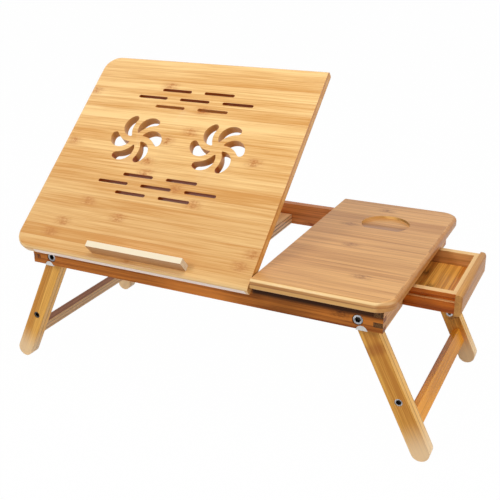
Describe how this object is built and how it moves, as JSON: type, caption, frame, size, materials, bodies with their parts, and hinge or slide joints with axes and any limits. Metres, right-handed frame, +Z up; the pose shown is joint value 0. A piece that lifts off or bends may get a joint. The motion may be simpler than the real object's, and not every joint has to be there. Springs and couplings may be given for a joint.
{
  "type": "laptop stand with drawer",
  "caption": "Bamboo laptop stand with a tilting vented rest board, a fixed side top over a small drawer, and folding splayed legs.",
  "frame": {"origin": "on the floor, below the middle of the stand's outline as it stands open in the picture", "axes": "+X to the user's right, where the drawer opens; +Y to the back; +Z up from the floor"},
  "size_m": [0.6606, 0.3598, 0.4311],
  "materials": {
    "rail_bamboo": "satin lacquer",
    "end_bamboo": "satin lacquer",
    "side_top_bamboo": "gloss lacquer",
    "rest_bamboo": "gloss lacquer",
    "ledge_bamboo": "gloss lacquer",
    "leg_bamboo": "satin lacquer",
    "drawer_bamboo": "satin lacquer",
    "inner_bamboo": "satin lacquer",
    "dowel_wood": "plain",
    "bolt_steel": "satin",
    "hinge_steel": "satin",
    "white_nylon": "matt"
  },
  "bodies": {
    "frame": {"front_rail": "rail_bamboo", "back_rail": "rail_bamboo", "left_end_rail": "rail_bamboo", "right_end_rail_front": "end_bamboo", "right_end_rail_rear": "end_bamboo", "middle_batten": "rail_bamboo", "middle_web": "rail_bamboo", "prop_slat": "rail_bamboo", "drawer_cleat_front": "rail_bamboo", "drawer_cleat_rear": "rail_bamboo", "drawer_runner_front": "dowel_wood", "drawer_runner_rear": "dowel_wood", "cleat_screws": "bolt_steel", "side_top": "side_top_bamboo", "side_top_dowels": "dowel_wood", "pivot_bolts": "bolt_steel", "pivot_nuts": "bolt_steel", "pivot_washers": "white_nylon", "lower_hinge_leaves": "hinge_steel", "hinge_pins": "hinge_steel", "lower_hinge_screws": "hinge_steel"},
    "rest_board": {"rest_board": "rest_bamboo", "ledge": "ledge_bamboo", "ledge_dowels": "dowel_wood", "upper_hinge_leaves": "hinge_steel", "upper_hinge_screws": "hinge_steel", "prop_block": "leg_bamboo", "prop_block_screws": "bolt_steel", "prop_pin": "bolt_steel"},
    "prop": {"prop_arm_left": "leg_bamboo", "prop_arm_right": "leg_bamboo", "prop_foot": "dowel_wood"},
    "left_legs": {"left_front_leg": "leg_bamboo", "left_rear_leg": "leg_bamboo", "left_crossbar": "leg_bamboo", "left_crossbar_dowels": "dowel_wood", "left_leg_bolts": "bolt_steel", "left_leg_nuts": "bolt_steel"},
    "right_legs": {"right_front_leg": "leg_bamboo", "right_rear_leg": "leg_bamboo", "right_crossbar": "leg_bamboo", "right_crossbar_dowels": "dowel_wood", "right_leg_bolts": "bolt_steel", "right_leg_nuts": "bolt_steel"},
    "drawer": {"drawer_front_panel": "drawer_bamboo", "drawer_inner_front": "inner_bamboo", "drawer_back": "inner_bamboo", "drawer_side_front": "drawer_bamboo", "drawer_side_rear": "drawer_bamboo", "drawer_bottom": "inner_bamboo", "drawer_screws": "bolt_steel"}
  },
  "joints": [
    {"name": "rest_tilt", "type": "hinge", "parent": "frame", "child": "rest_board", "pos_m": [0.04306, -0.15312, 0.207], "axis": [1, 0, 0], "range_deg": [-40.4, 0]},
    {"name": "prop_swing", "type": "hinge", "parent": "rest_board", "child": "prop", "pos_m": [-0.00444, -0.04364, 0.2913], "axis": [1, 0, 0], "range_deg": [0, 88.65]},
    {"name": "left_leg_fold", "type": "hinge", "parent": "frame", "child": "left_legs", "pos_m": [-0.23384, 0.00488, 0.1856], "axis": [0, -1, 0], "range_deg": [0, 115.9]},
    {"name": "right_leg_fold", "type": "hinge", "parent": "frame", "child": "right_legs", "pos_m": [0.22496, 0.00488, 0.1856], "axis": [0, 1, 0], "range_deg": [0, 115.9]},
    {"name": "drawer_slide", "type": "slide", "parent": "frame", "child": "drawer", "axis": [1, 0, 0], "range_m": [-0.065, 0.045]}
  ],
  "couplings": [
    {"joint": "prop_swing", "follows": "rest_tilt", "ratio": -2.1931}
  ]
}
